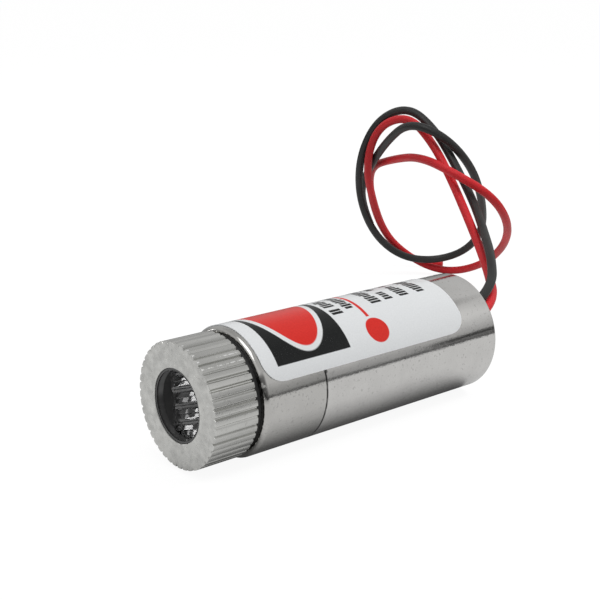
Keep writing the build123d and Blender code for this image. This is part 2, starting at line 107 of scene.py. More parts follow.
# Edges and cuts that only the render has, in millimetres
SEAM_GAP = 0.04
SEAM_DEPTH = 0.3
BORE_ROUNDING = 0.08
REAR_ROUNDING = 0.25
FRONT_ROUNDING = 0.45
FRONT_BORE_ROUNDING = 0.12
RIM_ROUNDING = 0.05
THREAD_DEPTH = 0.27
THREAD_RUN_OUT = 0.5

# The camera fitted to the photograph: its place in millimetres, and two of its axes
CAMERA_PLACE = (76.34, 77.68, 35.01)
CAMERA_RIGHT = (-0.75837, 0.65182, 0.0)
CAMERA_BACK = (0.62868, 0.73144, 0.26412)
FOCAL_LENGTH = 69.27
SENSOR_WIDTH = 36.0

# The two leads' routes from the board outwards, in millimetres, close to those of the solids
RED_ROUTE = [
    (-8.8, 1.0, 0.7),
    (-14.3, 1.0, 0.7),
    (-18.7, -0.5, 2.0),
    (-21.9, -3.9, 3.2),
    (-24.7, -7.6, 5.0),
    (-27.4, -12.1, 7.8),
    (-29.5, -16.9, 11.8),
    (-30.6, -21.2, 15.8),
    (-31.1, -26.0, 18.8),
    (-30.7, -31.2, 17.0),
    (-31.1, -33.8, 11.6),
    (-35.2, -36.4, 5.4),
    (-39.9, -38.5, -0.2),
    (-43.6, -37.5, -3.6),
    (-45.9, -34.2, -5.4),
    (-46.9, -30.0, -5.0),
    (-45.9, -24.2, -2.4),
    (-41.9, -18.0, 1.8),
    (-36.3, -13.2, 6.2),
    (-31.5, -12.0, 10.2),
    (-28.1, -15.4, 13.0),
    (-28.9, -21.8, 14.2),
    (-32.5, -30.0, 12.6),
    (-36.0, -37.9, 10.4),
    (-39.6, -41.6, 5.6),
    (-43.0, -42.6, -0.2),
    (-45.8, -40.7, -4.2),
    (-47.9, -37.4, -5.4),
    (-49.1, -35.6, -5.4),
]
BLACK_ROUTE = [
    (-8.8, -1.0, 0.7),
    (-14.3, -1.0, 0.7),
    (-18.4, -0.5, 3.4),
    (-22.3, -4.1, 5.4),
    (-26.2, -8.6, 7.0),
    (-29.9, -13.4, 9.2),
    (-31.7, -18.1, 13.0),
    (-32.3, -22.4, 17.2),
    (-32.1, -27.0, 19.8),
    (-31.5, -32.0, 17.8),
    (-31.9, -35.8, 12.6),
    (-34.1, -38.2, 6.2),
    (-37.5, -38.6, 0.4),
    (-41.3, -37.0, -3.2),
    (-45.1, -34.2, -4.0),
    (-47.5, -30.2, -2.4),
    (-46.1, -25.6, 1.6),
    (-40.5, -21.1, 7.2),
    (-34.4, -17.9, 12.8),
    (-30.4, -19.1, 16.9),
    (-29.0, -23.9, 18.3),
    (-30.6, -29.4, 15.2),
    (-33.8, -36.1, 10.4),
    (-36.8, -41.0, 5.5),
    (-39.4, -41.2, 1.2),
]

scene = bpy.context.scene
scene.view_settings.view_transform = "Standard"


def make_camera():
    """The camera at the photograph's angle."""
    data = bpy.data.cameras.new("photo_camera")
    data.sensor_width = SENSOR_WIDTH
    data.lens = FOCAL_LENGTH
    data.clip_start = 0.005
    data.clip_end = 10.0
    camera = bpy.data.objects.new("photo_camera", data)
    right = Vector(CAMERA_RIGHT).normalized()
    back = Vector(CAMERA_BACK).normalized()
    up = back.cross(right).normalized()
    turn = Matrix((right, up, back)).transposed().to_4x4()
    camera.matrix_world = Matrix.Translation(Vector(CAMERA_PLACE) * MM) @ turn
    scene.collection.objects.link(camera)
    scene.camera = camera


make_camera()


# Node helpers


class Nodes:
    """A small wrapper that makes math on sockets short to write."""

    def __init__(self, tree):
        self.tree = tree

    def add(self, kind, **values):
        node = self.tree.nodes.new(kind)
        for name, value in values.items():
            setattr(node, name, value)
        return node

    def feed(self, socket, value):
        if isinstance(value, bpy.types.NodeSocket):
            self.tree.links.new(value, socket)
        else:
            socket.default_value = value

    def math(self, operation, a, b=0.0, c=0.0):
        node = self.add("ShaderNodeMath", operation=operation)
        self.feed(node.inputs[0], a)
        self.feed(node.inputs[1], b)
        self.feed(node.inputs[2], c)
        return node.outputs[0]

    def times(self, a, b):
        return self.math("MULTIPLY", a, b)

    def minus(self, a, b):
        return self.math("SUBTRACT", a, b)

    def most(self, a, b):
        return self.math("MAXIMUM", a, b)

    def away(self, value, middle):
        return self.math("ABSOLUTE", self.minus(value, middle))

    def length(self, a, b):
        return self.math("SQRT", self.math("ADD", self.times(a, a), self.times(b, b)))

    def mix(self, share, a, b):
        node = self.add("ShaderNodeMix", data_type="RGBA")
        self.feed(node.inputs["Factor"], share)
        self.feed(node.inputs[6], a)
        self.feed(node.inputs[7], b)
        return node.outputs[2]

    def span(self, value, from_low, from_high, to_low=0.0, to_high=1.0, smooth=True):
        """Maps one range of a value to another, with soft ends unless told otherwise."""
        node = self.add("ShaderNodeMapRange", interpolation_type="SMOOTHSTEP" if smooth else "LINEAR")
        self.feed(node.inputs["Value"], value)
        self.feed(node.inputs["From Min"], from_low)
        self.feed(node.inputs["From Max"], from_high)
        self.feed(node.inputs["To Min"], to_low)
        self.feed(node.inputs["To Max"], to_high)
        return node.outputs["Result"]

    def band(self, value, low, low_full, high_full, high):
        """1 from low_full to high_full, and 0 outside low and high."""
        rise = self.span(value, low, low_full)
        return self.times(rise, self.span(value, high_full, high, 1.0, 0.0))

    def noise(self, where, scale, detail=2.0, rough=0.5):
        node = self.add("ShaderNodeTexNoise")
        self.feed(node.inputs["Vector"], where)
        node.inputs["Scale"].default_value = scale
        node.inputs["Detail"].default_value = detail
        node.inputs["Roughness"].default_value = rough
        return node.outputs["Fac"]

    def place(self):
        """Object coordinates, in metres."""
        return self.add("ShaderNodeTexCoord").outputs["Object"]

    def scaled(self, where, x, y, z):
        node = self.add("ShaderNodeVectorMath", operation="MULTIPLY")
        self.feed(node.inputs[0], where)
        node.inputs[1].default_value = (x, y, z)
        return node.outputs[0]

    def parts(self, where):
        node = self.add("ShaderNodeSeparateXYZ")
        self.feed(node.inputs[0], where)
        return node.outputs[0], node.outputs[1], node.outputs[2]

    def barrel_place(self, where):
        """The place along the beam axis in millimetres, the angle round it, and the height."""
        x, y, z = self.parts(self.scaled(where, 1000.0, 1000.0, 1000.0))
        return x, self.math("ARCTAN2", y, z), z

    def bump(self, height, strength, distance, under=None):
        node = self.add("ShaderNodeBump")
        node.inputs["Strength"].default_value = strength
        node.inputs["Distance"].default_value = distance
        self.feed(node.inputs["Height"], height)
        if under is not None:
            self.feed(node.inputs["Normal"], under)
        return node.outputs["Normal"]


def grey(value):
    return (value, value, value, 1.0)


def scaled_color(color, factor):
    """The colour made darker or lighter, with its alpha."""
    return (*[min(1.0, part * factor) for part in color], 1.0)


def surface(name, color, metallic=0.0, roughness=0.5, **more):
    """A new material with its Principled shader, ready for nodes."""
    material = bpy.data.materials.new(name)
    material.use_nodes = True
    nodes = Nodes(material.node_tree)
    shader = material.node_tree.nodes["Principled BSDF"]
    shader.inputs["Base Color"].default_value = (*color, 1.0)
    shader.inputs["Metallic"].default_value = metallic
    shader.inputs["Roughness"].default_value = roughness
    for socket, value in more.items():
        shader.inputs[socket.replace("_", " ")].default_value = value
    return material, nodes, shader


# Materials. Noise scales are per metre, and bump heights are in metres.

FINE = 0.00001
MEDIUM = 0.00002
COARSE = 0.00003

# Painted highlights on the knurl, as bright specks: the angle of a ridge in radians, and where its line
# starts and ends
GLINT_LINES = ((0.735, X_KNURL + 0.1, X_FACE - 0.1), (0.593, X_KNURL + 0.2, X_KNURL + 2.5))
GLINT_HALF_WIDTH = (0.035, 0.065)
GLINT_END_ANGLE = 0.037
GLINT_ENDS = (X_FACE - 0.26, X_FACE - 0.2, X_FACE - 0.04, X_FACE - 0.01)
GLINT_END_ANGLES = (0.05, 0.12, 0.78, 0.86)
GLINT_GLOW = 0.8

# Dark patches on the barrel's front edge, painted shade in the seam groove, and a dark spot at the seam,
# with angles in radians and places in millimetres
EDGE_PATCH_ANGLES = (0.98, 1.1, 1.36, 1.5)
EDGE_PATCH_PLACES = (X_FRONT - 0.5, X_FRONT - 0.25)
SEAM_SHADE_REACH = (0.05, 0.16)
DARK_SPOT_ANGLE = 1.245
DARK_SPOT_PLACE = X_SEAM - 0.05
DARK_SPOT_RADIUS = (0.14, 0.26)
DARKENING_DEPTH = 0.75


def ring_painted_glints(nodes, where, x, angle):
    """Painted highlights: bright specks along two ridges and at the front ends of the upper ones, 0 to 1.
    """
    grain = nodes.noise(nodes.scaled(where, 0.6, 1.0, 1.0), 5200.0, 2.0, 0.6)
    lines = None
    for middle, start, end in GLINT_LINES:
        off = nodes.times(nodes.away(angle, middle), RIDGE_RADIUS)
        reach = nodes.band(x, start, start + 0.1, end - 0.1, end)
        line = nodes.times(nodes.span(off, *GLINT_HALF_WIDTH, 1.0, 0.0), reach)
        lines = line if lines is None else nodes.most(lines, line)
    lines = nodes.times(lines, nodes.span(grain, 0.47, 0.53))
    phase = nodes.math("MULTIPLY_ADD", angle, RIDGE_COUNT, -GLINT_END_ANGLE * RIDGE_COUNT)
    ends = nodes.times(nodes.span(nodes.math("COSINE", phase), 0.8, 0.92), nodes.band(x, *GLINT_ENDS))
    return nodes.most(lines, nodes.times(ends, nodes.band(angle, *GLINT_END_ANGLES)))


def barrel_patches_and_seam_shade(nodes, where, x, angle):
    """Dark patches along part of the front edge, painted shade in the seam groove, and a dark spot at the
    seam, 0 to 1.
    """
    patches = nodes.span(nodes.noise(where, 1800.0, 3.0, 0.6), 0.36, 0.5)
    edge = nodes.times(nodes.span(x, *EDGE_PATCH_PLACES), nodes.band(angle, *EDGE_PATCH_ANGLES))
    edge_patches = nodes.times(edge, patches)
    # Painted shade: darker in patches along the seam groove
    seam = nodes.span(nodes.away(x, X_SEAM), *SEAM_SHADE_REACH, 1.0, 0.0)
    seam_shade = nodes.times(seam, nodes.math("MULTIPLY_ADD", patches, 0.5, 0.5))
    across = nodes.times(nodes.minus(angle, DARK_SPOT_ANGLE), BARREL_RADIUS)
    along = nodes.minus(x, DARK_SPOT_PLACE)
    dark_spot = nodes.span(nodes.length(across, along), *DARK_SPOT_RADIUS, 1.0, 0.0)
    return nodes.most(nodes.most(edge_patches, seam_shade), dark_spot)


def plating(name, color, rough, pit_strength, specks, streak=0.0, bands=0.0, knurled=False):
    """Nickel plating: fine pits and faint clouds in its gloss, and slight tarnish.

    specks is how dark the tarnished spots are, streak how strongly the bump runs along the beam
    axis, and bands how far the tone changes round a knurl."""
    material, nodes, shader = surface(name, color, 1.0, rough)
    where = nodes.place()
    pits = nodes.noise(where, 5200.0, 3.0, 0.6)
    clouds = nodes.noise(where, 420.0, 3.0, 0.6)
    dark = nodes.span(nodes.noise(where, 3400.0, 2.0, 0.5), 0.6, 0.72)
    shade = nodes.math("MULTIPLY_ADD", clouds, 0.2, 0.9)
    shade = nodes.minus(shade, nodes.times(dark, specks))
    if bands:
        tone = nodes.noise(nodes.scaled(where, 0.05, 1.0, 1.0), 900.0, 2.0, 0.7)
        shade = nodes.math("ADD", shade, nodes.span(tone, 0.3, 0.7, -bands, bands, smooth=False))
    x, angle, z = nodes.barrel_place(where)
    if knurled:
        # With a knurl, painted highlights brighten specks along two ridges and at the ridges' front ends
        shade = nodes.math("MULTIPLY_ADD", ring_painted_glints(nodes, where, x, angle), GLINT_GLOW, shade)
    else:
        # Darker in patches at the front edge and at a spot by the seam, and painted shade in the seam
        # groove
        darkening = nodes.times(barrel_patches_and_seam_shade(nodes, where, x, angle), DARKENING_DEPTH)
        shade = nodes.times(shade, nodes.minus(1.0, darkening))
    tone = nodes.add("ShaderNodeVectorMath", operation="SCALE")
    tone.inputs[0].default_value = color
    nodes.feed(tone.inputs["Scale"], shade)
    nodes.feed(shader.inputs["Base Color"], tone.outputs[0])
    clouded = nodes.math("MULTIPLY_ADD", clouds, 0.1, rough - 0.04)
    nodes.feed(shader.inputs["Roughness"], nodes.math("MULTIPLY_ADD", dark, 0.15, clouded))
    height = pits
    if streak:
        lines = nodes.noise(nodes.scaled(where, 0.06, 1.0, 1.0), 9000.0, 2.0, 0.6)
        height = nodes.math("MULTIPLY_ADD", lines, streak, pits)
    normal = nodes.bump(height, pit_strength, FINE)
    normal = nodes.bump(nodes.noise(where, 900.0, 2.0, 0.5), 0.25, MEDIUM, normal)
    nodes.feed(shader.inputs["Normal"], normal)
    return material


# The label's plain fields, in millimetres: along the barrel, and around it from the top
PRINT_RADIUS = LABEL_RADIUS - 0.04
PRINT_BLUR = 0.035
PANEL_MIDDLE = (12.18, -3.6)
PANEL_HALF = (4.27, 9.64)
OVAL_MIDDLE = (12.25, -3.6)
OVAL_BORDER_HALF = (4.0, 9.0)
OVAL_FIELD_HALF = (3.45, 8.45)
OVAL_BLUR = 0.008
DISC_MIDDLE = (3.93, 5.05)
DISC_RADIUS = 1.3
LINE_MIDDLE = 4.1
LINE_HALF = 0.19
LINE_START = 3.5
LINE_END = -12.0

# Rows of short strokes: place along the barrel, half height, start and end around it
STROKE_ROWS = (
    (6.85, 0.66, 2.4, -12.2),
    (5.08, 0.62, 2.0, -11.4),
    (1.66, 0.66, 2.1, -8.6),
    (-0.12, 0.62, 2.0, -10.9),
    (-2.22, 0.66, 2.0, -7.4),
    (-4.5, 0.66, 2.0, -9.8),
)
STROKE_PITCH = 0.43
STROKE_HALF = 0.4
ROW_SEEDS = 40.0
FIRST_SEED = 7.0


def label_film():
    """White film: a dark panel with a red oval, a plain red disc and line, and rows of strokes."""
    material, nodes, shader = surface("label_film", (0.74, 0.75, 0.77), 0.0, 0.22, Specular_IOR_Level=0.2)
    where = nodes.place()
    x, angle, z = nodes.barrel_place(where)
    around = nodes.times(angle, PRINT_RADIUS)

    def inside(distance, limit, blur=PRINT_BLUR):
        """1 where distance is under limit, with a soft printed edge."""
        return nodes.span(distance, limit - blur, limit + blur, 1.0, 0.0, smooth=False)

    def oval(half_x, half_around):
        u = nodes.math("DIVIDE", nodes.minus(x, OVAL_MIDDLE[0]), half_x)
        v = nodes.math("DIVIDE", nodes.minus(around, OVAL_MIDDLE[1]), half_around)
        return inside(nodes.length(u, v), 1.0, OVAL_BLUR)

    def stroke_row(number, middle, half, start, end):
        """A row of upright strokes, whose heights and few gaps fall by chance."""
        step = nodes.math("DIVIDE", nodes.minus(around, start), STROKE_PITCH)
        chance = nodes.add("ShaderNodeTexWhiteNoise", noise_dimensions="1D")
        seed = ROW_SEEDS * number + FIRST_SEED
        nodes.feed(chance.inputs["W"], nodes.math("ADD", nodes.math("FLOOR", step), seed))
        height = nodes.times(half, nodes.span(chance.outputs["Value"], 0.3, 0.5, 0.72, 1.0))
        tall = inside(nodes.minus(nodes.away(x, middle), height), 0.0)
        stroke = nodes.times(tall, inside(nodes.away(nodes.math("FRACT", step), 0.5), STROKE_HALF))
        stroke = nodes.times(stroke, nodes.span(chance.outputs["Value"], 0.08, 0.1))
        return nodes.times(stroke, inside(nodes.away(around, (start + end) / 2), (start - end) / 2))

    across_panel = inside(nodes.away(around, PANEL_MIDDLE[1]), PANEL_HALF[1])
    panel = nodes.times(inside(nodes.away(x, PANEL_MIDDLE[0]), PANEL_HALF[0]), across_panel)
    border = oval(*OVAL_BORDER_HALF)
    field = oval(*OVAL_FIELD_HALF)
    off_disc = nodes.length(nodes.minus(x, DISC_MIDDLE[0]), nodes.minus(around, DISC_MIDDLE[1]))
    disc = inside(off_disc, DISC_RADIUS)
    line_reach = nodes.times(inside(around, LINE_START), inside(nodes.times(around, -1.0), -LINE_END))
    line = nodes.times(inside(nodes.away(x, LINE_MIDDLE), LINE_HALF), line_reach)
    red = nodes.most(field, nodes.most(disc, line))
    rows = None
    for number, row in enumerate(STROKE_ROWS):
        strokes = stroke_row(number, *row)
        rows = strokes if rows is None else nodes.most(rows, strokes)
    fleck = nodes.noise(where, 7000.0, 2.0, 0.6)
    paper = nodes.mix(nodes.span(fleck, 0.3, 0.7), (0.73, 0.745, 0.755, 1.0), (0.765, 0.78, 0.79, 1.0))
    ink = nodes.mix(nodes.span(fleck, 0.4, 0.75), (0.006, 0.007, 0.007, 1.0), (0.011, 0.012, 0.012, 1.0))
    red_ink = nodes.mix(nodes.span(fleck, 0.3, 0.7), (0.64, 0.022, 0.016, 1.0), (0.70, 0.028, 0.020, 1.0))
    color = nodes.mix(panel, paper, ink)
    color = nodes.mix(border, color, paper)
    color = nodes.mix(rows, color, ink)
    color = nodes.mix(red, color, red_ink)
    nodes.feed(shader.inputs["Base Color"], color)
    sag = nodes.noise(where, 260.0, 2.0, 0.5)
    normal = nodes.bump(sag, 0.35, COARSE)
    normal = nodes.bump(fleck, 0.08, FINE, normal)
    nodes.feed(shader.inputs["Normal"], normal)
    return material


def insulation(name, color, light):
    """Soft PVC: a slight cloudiness and a faint orange-peel skin."""
    material, nodes, shader = surface(name, color, 0.0, 0.42, Specular_IOR_Level=0.3)
    where = nodes.place()
    clouds = nodes.noise(where, 160.0, 3.0, 0.6)
    tone = nodes.mix(nodes.span(clouds, 0.35, 0.65), (*color, 1.0), (*light, 1.0))
    nodes.feed(shader.inputs["Base Color"], tone)
    nodes.feed(shader.inputs["Roughness"], nodes.math("MULTIPLY_ADD", clouds, 0.2, 0.33))
    peel = nodes.noise(where, 3200.0, 2.0, 0.5)
    nodes.feed(shader.inputs["Normal"], nodes.bump(peel, 0.25, MEDIUM))
    return material


def rubber(name, color):
    """Matt black rubber with a fine grain."""
    material, nodes, shader = surface(name, color, 0.0, 0.6)
    where = nodes.place()
    grain = nodes.noise(where, 4200.0, 4.0, 0.6)
    nodes.feed(shader.inputs["Roughness"], nodes.math("MULTIPLY_ADD", grain, 0.25, 0.48))
    tone = nodes.mix(grain, scaled_color(color, 0.7), scaled_color(color, 1.4))
    nodes.feed(shader.inputs["Base Color"], tone)
    nodes.feed(shader.inputs["Normal"], nodes.bump(grain, 0.3, MEDIUM))
    return material


def satin_black(name, value, rough, shine=0.5, rim=None):
    """Black anodized or moulded surface. With a rim, a paler band inside it on the upper side is a painted
    sheen, and it is darkest at that x.
    """
    material, nodes, shader = surface(name, (value, value, value), 0.0, rough, Specular_IOR_Level=shine)
    where = nodes.place()
    grain = nodes.noise(where, 2600.0, 3.0, 0.5)
    if rim is not None:
        x, angle, z = nodes.barrel_place(where)
        near_rim = nodes.span(x, rim - 0.3, rim)
        # Painted sheen: a paler band a little inside the rim, on the upper side
        painted_sheen = nodes.times(nodes.span(x, rim - 0.9, rim - 0.6), nodes.span(z, -0.4, 0.6))
        level = nodes.math("MULTIPLY_ADD", painted_sheen, value * 1.6, value)
        nodes.feed(shader.inputs["Base Color"], nodes.mix(near_rim, level, grey(0.02)))
    nodes.feed(shader.inputs["Roughness"], nodes.math("MULTIPLY_ADD", grain, 0.18, rough - 0.08))
    nodes.feed(shader.inputs["Normal"], nodes.bump(grain, 0.15, FINE))
    return material


def clear_lens(name):
    """Clear moulded plastic with a faint ripple in its surface."""
    color = (0.96, 0.97, 0.98)
    clear = {"Transmission_Weight": 1.0, "IOR": 1.49, "Coat_Weight": 0.5}
    material, nodes, shader = surface(name, color, 0.0, 0.03, **clear)
    where = nodes.place()
    ripple = nodes.noise(where, 1500.0, 2.0, 0.5)
    nodes.feed(shader.inputs["Roughness"], nodes.math("MULTIPLY_ADD", ripple, 0.04, 0.0))
    nodes.feed(shader.inputs["Normal"], nodes.bump(ripple, 0.1, FINE))
    return material


def speckled(name, color, metallic, rough, scale=2500.0, contrast=0.25):
    """A plain inner material with its own grain in colour, gloss and height."""
    material, nodes, shader = surface(name, color, metallic, rough)
    where = nodes.place()
    grain = nodes.noise(where, scale, 3.0, 0.6)
    tone = nodes.mix(grain, scaled_color(color, 1 - contrast), scaled_color(color, 1 + contrast))
    nodes.feed(shader.inputs["Base Color"], tone)
    nodes.feed(shader.inputs["Roughness"], nodes.math("MULTIPLY_ADD", grain, 0.2, max(0.05, rough - 0.1)))
    nodes.feed(shader.inputs["Normal"], nodes.bump(grain, 0.2, MEDIUM))
    return material


MATERIALS = {
    "barrel_plating": plating("barrel_plating", (0.63, 0.622, 0.607), 0.07, 0.5, 0.14),
    "front_plating": plating("front_plating", (0.54, 0.533, 0.515), 0.07, 0.5, 0.14),
    "ring_plating": plating(
        "ring_plating", (0.575, 0.575, 0.555), 0.24, 0.3, 0.03, streak=0.25, bands=0.16, knurled=True
    ),
    "bore_black": satin_black("bore_black", 0.12, 0.3),
    "label_film": label_film(),
    "washer_rubber": rubber("washer_rubber", (0.018, 0.018, 0.018)),
    "line_lens_clear": clear_lens("line_lens_clear"),
    "lens_clear": clear_lens("lens_clear"),
    "retainer_black": satin_black("retainer_black", 0.115, 0.22, shine=0.8, rim=X_SLEEVE_RIM),
    "spring_steel": speckled("spring_steel", (0.55, 0.55, 0.55), 1.0, 0.28),
    "holder_brass": speckled("holder_brass", (0.72, 0.52, 0.24), 1.0, 0.25),
    "header_gold": speckled("header_gold", (0.83, 0.62, 0.28), 1.0, 0.2, contrast=0.1),
    "cap_nickel": speckled("cap_nickel", (0.66, 0.65, 0.63), 1.0, 0.18, contrast=0.1),
    "chip_dark": speckled("chip_dark", (0.08, 0.08, 0.1), 0.3, 0.2),
    "seal_bead": speckled("seal_bead", (0.06, 0.08, 0.16), 0.0, 0.15),
    "solder": speckled("solder", (0.7, 0.7, 0.7), 1.0, 0.22, contrast=0.12),
    "board_green": speckled("board_green", (0.02, 0.12, 0.05), 0.0, 0.3),
    "package_black": speckled("package_black", (0.02, 0.02, 0.02), 0.0, 0.5),
    "capacitor_tan": speckled("capacitor_tan", (0.4, 0.28, 0.16), 0.0, 0.5),
    "core_tinned": speckled("core_tinned", (0.7, 0.69, 0.67), 1.0, 0.3, contrast=0.15),
    "potting_white": speckled("potting_white", (0.62, 0.61, 0.57), 0.0, 0.35, 900.0, 0.08),
    "red_insulation": insulation("red_insulation", (0.54, 0.013, 0.018), (0.66, 0.022, 0.03)),
    "black_insulation": insulation("black_insulation", (0.023, 0.023, 0.023), (0.037, 0.037, 0.036)),
}

for entry in frame["record"]["subparts"]:
    node = frame["nodes"][entry["node"]]
    node.data.materials.clear()
    node.data.materials.append(MATERIALS[entry["material_slot"]])


# Mesh helpers


def mesh_piece(name, points, faces, material, body, nodes=(), sharp=35.0):
    """A mesh piece in millimetres that rides on a body and stands for CAD nodes."""
    mesh = bpy.data.meshes.new(name)
    mesh.from_pydata([(px * MM, py * MM, pz * MM) for px, py, pz in points], [], faces)
    mesh.validate()
    mesh.update()
    mesh.shade_smooth()
    mesh.set_sharp_from_angle(angle=math.radians(sharp))
    mesh.materials.append(MATERIALS[material])
    piece = bpy.data.objects.new(name, mesh)
    scene.collection.objects.link(piece)
    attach(piece, body)
    if nodes:
        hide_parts(*nodes)
    return piece


def blacken(piece, count, segments):
    """Gives the bore's black to those segments of a swept profile of count faces each."""
    piece.data.materials.append(MATERIALS["bore_black"])
    for face in piece.data.polygons:
        if face.index // count in segments:
            face.material_index = 1


def swept_ring(profile, count, radius_at=None, closed=True):
    """Points and faces of a profile of (x, radius) turned about the beam axis.

    radius_at(index, x, radius, angle) may change the radius round the turn."""
    points = []
    for index, (x, radius) in enumerate(profile):
        for step in range(count):
            angle = 2 * math.pi * step / count
            r = radius if radius_at is None else radius_at(index, x, radius, angle)
            points.append((x, r * math.cos(angle), r * math.sin(angle)))
    faces = []
    rings = len(profile)
    for index in range(rings if closed else rings - 1):
        here = index * count
        there = (index + 1) % rings * count
        for step in range(count):
            after = (step + 1) % count
            faces.append((here + step, here + after, there + after, there + step))
    return points, faces


def rounded(corners, steps=5):
    """A closed profile with each corner (x, radius, rounding) cut to an arc."""
    out = []
    count = len(corners)
    for index, (x, r, rounding) in enumerate(corners):
        here = Vector((x, r))
        if not rounding:
            out.append((x, r))
            continue
        before = Vector(corners[index - 1][:2]) - here
        after = Vector(corners[(index + 1) % count][:2]) - here
        before.normalize()
        after.normalize()
        half = before.angle(after) / 2
        reach = rounding / math.tan(half)
        middle = here + (before + after).normalized() * (rounding / math.sin(half))
        first = here + before * reach - middle
        last = here + after * reach - middle
        for step in range(steps + 1):
            share = step / steps
            spoke = first.lerp(last, share).normalized() * rounding
            out.append(tuple(middle + spoke))
    return out


# Barrel


def make_barrel():
    """The two sleeves, with a fine groove between them at the seam."""
    around = 192
    rear = rounded(
        [
            (X_REAR, CHAMBER_RADIUS, BORE_ROUNDING),
            (X_SHOULDER, CHAMBER_RADIUS, 0),
            (X_SHOULDER, SPRING_BORE_RADIUS, 0),
            (X_SPIGOT_END, SPRING_BORE_RADIUS, 0),
            (X_SPIGOT_END, SPIGOT_RADIUS, BORE_ROUNDING),
            (X_SEAM, SPIGOT_RADIUS, 0),
            (X_SEAM, BARREL_RADIUS - SEAM_DEPTH, 0),
            (X_SEAM - SEAM_GAP, BARREL_RADIUS - SEAM_DEPTH, 0),
            (X_SEAM - SEAM_GAP, BARREL_RADIUS, SEAM_GAP),
            (X_REAR, BARREL_RADIUS, REAR_ROUNDING),
        ]
    )
    points, faces = swept_ring(rear, around)
    mesh_piece("rear_barrel_shell", points, faces, "barrel_plating", "barrel", ["rear_barrel"])
    socket_radius = SPIGOT_RADIUS + SLIP
    socket_end = X_SPIGOT_END + SEAT_GAP
    thread_bore = THREAD_RADIUS + THREAD_CLEARANCE
    front = rounded(
        [
            (X_SEAM, socket_radius, 0),
            (socket_end, socket_radius, 0),
            (socket_end, thread_bore, 0),
            (X_FRONT, thread_bore, FRONT_BORE_ROUNDING),
            (X_FRONT, BARREL_RADIUS, FRONT_ROUNDING),
            (X_SEAM + SEAM_GAP, BARREL_RADIUS, SEAM_GAP),
            (X_SEAM + SEAM_GAP, BARREL_RADIUS - SEAM_DEPTH, 0),
            (X_SEAM, BARREL_RADIUS - SEAM_DEPTH, 0),
        ],
        steps=8,
    )
    points, faces = swept_ring(front, around)
    replaced = ["front_barrel"]
    mesh_piece("front_barrel_shell", points, faces, "front_plating", "barrel", replaced)


make_barrel()


# Focus ring


def ridge(angle):
    """How far below the crest the knurl's surface lies, 0 to 1.

    Each land leans a little its own way, and no two neighbouring grooves are equally deep."""
    turn = angle * RIDGE_COUNT / (2 * math.pi)
    number = round(turn) % RIDGE_COUNT
    groove = math.floor(turn) % RIDGE_COUNT
    side = (turn - round(turn)) * 2
    lean = 0.14 * math.sin(number * 2.4 + 0.6) * math.cos(number * 1.1)
    depth = 0.74 + 0.2 * math.sin(groove * 2.1 + 0.8)
    land, valley = 0.58, 0.9
    crest, crown = 0.05, 0.04
    offset = abs(side)
    if offset < land:
        return crown * (offset / land) ** 4 + lean * side + crest
    if offset < valley:
        share = (offset - land) / (valley - land)
        edge = crest + crown + lean * math.copysign(land, side)
        return edge + (depth - edge) * (3 * share**2 - 2 * share**3)
    return depth


def make_ring_head():
    """The knurled head, with a small rounding at both ends of the ridges and at the mouth."""
    faces_per_ridge = 20
    lengths = 8
    count = RIDGE_COUNT * faces_per_ridge
    edge = RIM_ROUNDING
    x_from, x_to = X_KNURL + edge, X_FACE - edge
    knurl = [
        (X_KNURL, RIDGE_RADIUS - edge),
        (X_KNURL + edge * 0.4, RIDGE_RADIUS - edge * 0.3),
    ]
    knurl += [(x_from + (x_to - x_from) * step / lengths, RIDGE_RADIUS) for step in range(lengths)]
    knurl += [
        (x_to, RIDGE_RADIUS),
        (X_FACE - edge * 0.4, RIDGE_RADIUS - edge * 0.3),
        (X_FACE, RIDGE_RADIUS - edge),
    ]
    profile = [(X_HEAD_TO_TAIL, NECK_RADIUS)] + knurl
    profile += [
        (X_FACE, RIDGE_RADIUS - RIDGE_DEPTH - edge - 0.02),
        (X_FACE, MOUTH_RADIUS + 0.06),
        (X_FACE - 0.02, MOUTH_RADIUS + 0.02),
        (X_FACE - 0.07, MOUTH_RADIUS),
        (X_MOUTH_FLOOR, MOUTH_RADIUS),
    ]

    def knurled(index, x, radius, angle):
        return radius - RIDGE_DEPTH * ridge(angle) if 1 <= index <= len(knurl) else radius

    points, faces = swept_ring(profile, count, knurled, closed=False)
    replaced = ["focus_ring"]
    piece = mesh_piece("focus_ring_head", points, faces, "ring_plating", "focus_ring", replaced, sharp=25.0)
    mouth_wall = len(profile) - 2
    blacken(piece, count, [mouth_wall])


